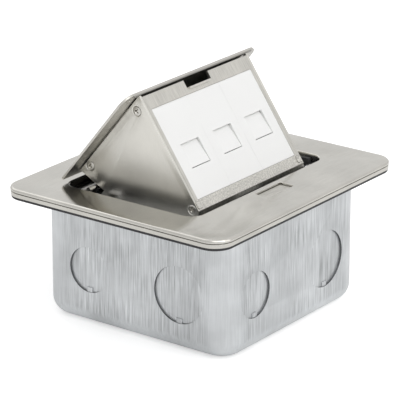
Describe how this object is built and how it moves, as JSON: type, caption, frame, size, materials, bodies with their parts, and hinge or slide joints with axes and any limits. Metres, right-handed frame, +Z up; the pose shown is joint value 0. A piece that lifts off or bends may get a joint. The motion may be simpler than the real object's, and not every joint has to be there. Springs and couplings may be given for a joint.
{
  "type": "pop-up floor socket box",
  "caption": "Steel floor box with a brushed faceplate and a sprung tilting cassette that shows shuttered data ports when a button frees its lid.",
  "frame": {"origin": "middle of the back box's underside, below the middle of the faceplate", "axes": "+X along the hinge and the faceplate's longer side, +Y from the sockets towards the hinge, +Z up; the cassette stands open at rest"},
  "size_m": [0.13, 0.114, 0.1048],
  "materials": {
    "drawn_steel": "drawn, streaky, zinc-bright",
    "faceplate": "satin nickel, brushed along the length",
    "carrier_steel": "plain pressed sheet",
    "lid_skin": "satin, brushed along the length",
    "side_panels": "satin",
    "front_metal": "grained satin",
    "cover_strip": "satin",
    "button_metal": "satin",
    "turned_steel": "turned",
    "fasteners": "bright plated",
    "spring_wire": "drawn wire",
    "rubber_seal": "matt",
    "brass_parts": "turned",
    "module_white": "moulded white",
    "shutter_white": "moulded white",
    "jack_body": "moulded",
    "terminal_caps": "moulded",
    "contact_gold": "plated"
  },
  "bodies": {
    "floor_box": {"back_box": "drawn_steel", "box_screws": "fasteners", "earth_stud": "brass_parts", "earth_washer": "brass_parts", "earth_nut": "brass_parts", "frame_gasket": "rubber_seal", "frame_plate": "faceplate", "carrier_frame": "carrier_steel", "plate_screws": "fasteners", "lid_buffers": "rubber_seal", "hinge_cover": "cover_strip", "cover_screws": "fasteners", "hinge_rod": "turned_steel", "hinge_clips": "fasteners", "lift_spring_left": "spring_wire", "lift_spring_right": "spring_wire", "latch_spring": "spring_wire"},
    "button": {"release_button": "button_metal"},
    "latch": {"latch_bolt": "turned_steel"},
    "cassette": {"lid": "lid_skin", "lid_nuts": "fasteners", "side_panel_left": "side_panels", "side_panel_right": "side_panels", "side_screws_left": "fasteners", "side_screws_right": "fasteners", "tie_bar": "turned_steel", "hinge_bushes": "brass_parts", "front_frame": "front_metal", "module_left": "module_white", "module_centre": "module_white", "module_right": "module_white", "shutter_spring_left": "spring_wire", "shutter_spring_centre": "spring_wire", "shutter_spring_right": "spring_wire", "jack_left": "jack_body", "jack_centre": "jack_body", "jack_right": "jack_body", "terminal_cap_left": "terminal_caps", "terminal_cap_centre": "terminal_caps", "terminal_cap_right": "terminal_caps", "jack_contacts": "contact_gold"},
    "left_shutter": {"shutter_left": "shutter_white"},
    "centre_shutter": {"shutter_centre": "shutter_white"},
    "right_shutter": {"shutter_right": "shutter_white"}
  },
  "joints": [
    {"name": "cassette_tilt", "type": "hinge", "parent": "floor_box", "child": "cassette", "pos_m": [0, 0.0342, 0.0451], "axis": [1, 0, 0], "range_deg": [0, 50.8], "stiffness_Nm_per_rad": 0.4, "springref_deg": -45.84, "deforming": ["lift_spring_left", "lift_spring_right"]},
    {"name": "release_press", "type": "slide", "parent": "floor_box", "child": "button", "axis": [0, 0, -1], "range_m": [0, 0.001], "stiffness_N_per_m": 400, "springref_m": -0.002, "deforming": ["latch_spring"]},
    {"name": "latch_slide", "type": "slide", "parent": "floor_box", "child": "latch", "axis": [0, 1, 0], "range_m": [-0.00141, 0]},
    {"name": "shutter_left_tilt", "type": "hinge", "parent": "cassette", "child": "left_shutter", "pos_m": [-0.0226, -0.00738, 0.08234], "axis": [1, 0, 0], "range_deg": [0, 86], "stiffness_Nm_per_rad": 0.0005, "springref_deg": -17.19, "deforming": ["shutter_spring_left"]},
    {"name": "shutter_centre_tilt", "type": "hinge", "parent": "cassette", "child": "centre_shutter", "pos_m": [0, -0.00738, 0.08234], "axis": [1, 0, 0], "range_deg": [0, 86], "stiffness_Nm_per_rad": 0.0005, "springref_deg": -17.19, "deforming": ["shutter_spring_centre"]},
    {"name": "shutter_right_tilt", "type": "hinge", "parent": "cassette", "child": "right_shutter", "pos_m": [0.0226, -0.00738, 0.08234], "axis": [1, 0, 0], "range_deg": [0, 86], "stiffness_Nm_per_rad": 0.0005, "springref_deg": -17.19, "deforming": ["shutter_spring_right"]}
  ],
  "couplings": [
    {"joint": "latch_slide", "follows": "release_press", "ratio": -1.4}
  ]
}
